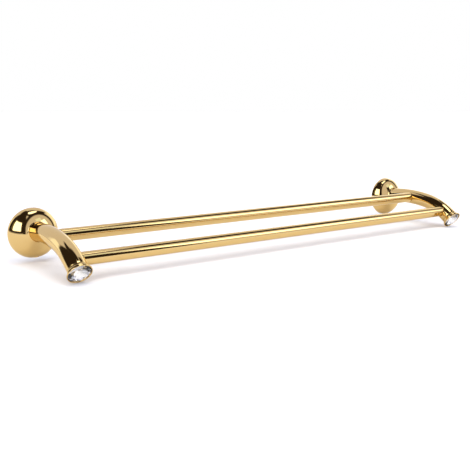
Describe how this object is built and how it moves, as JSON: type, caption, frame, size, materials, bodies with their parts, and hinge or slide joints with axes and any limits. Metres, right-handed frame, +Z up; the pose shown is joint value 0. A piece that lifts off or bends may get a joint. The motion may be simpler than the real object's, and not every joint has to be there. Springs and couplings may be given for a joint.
{
  "type": "double towel rack",
  "caption": "Wall-mounted towel rack: two parallel round bars between curved gold arms that grow from round bell-shaped flanges and end in round faceted clear crystals.",
  "frame": {"origin": "on the wall plane, midway between the two flange centres and at their height", "axes": "+X along the bars, +Y into the wall (the rack projects towards -Y), +Z up"},
  "size_m": [0.66, 0.1477, 0.0635],
  "materials": {
    "polished_gold": "cast and drawn brass, mirror polished and gold plated",
    "turned_brass": "plain turned brass, hidden inside the bar ends",
    "plate_steel": "zinc-plated steel, hidden behind the flange",
    "screw_steel": "stainless steel socket set screws",
    "silver_foil": "bright silver foil behind the stone",
    "clear_crystal": "clear faceted lead-free crystal, polished"
  },
  "bodies": {
    "root": {"rear_bar": "polished_gold", "front_bar": "polished_gold", "bracket_left": "polished_gold", "wall_plate_left": "plate_steel", "wall_stud_left": "plate_steel", "mounting_screw_left": "screw_steel", "crystal_cup_left": "polished_gold", "crystal_foil_left": "silver_foil", "crystal_left": "clear_crystal", "bar_plug_rear_left": "turned_brass", "bar_screw_rear_left": "screw_steel", "bar_plug_front_left": "turned_brass", "bar_screw_front_left": "screw_steel", "bracket_right": "polished_gold", "wall_plate_right": "plate_steel", "wall_stud_right": "plate_steel", "mounting_screw_right": "screw_steel", "crystal_cup_right": "polished_gold", "crystal_foil_right": "silver_foil", "crystal_right": "clear_crystal", "bar_plug_rear_right": "turned_brass", "bar_screw_rear_right": "screw_steel", "bar_plug_front_right": "turned_brass", "bar_screw_front_right": "screw_steel"}
  },
  "joints": []
}
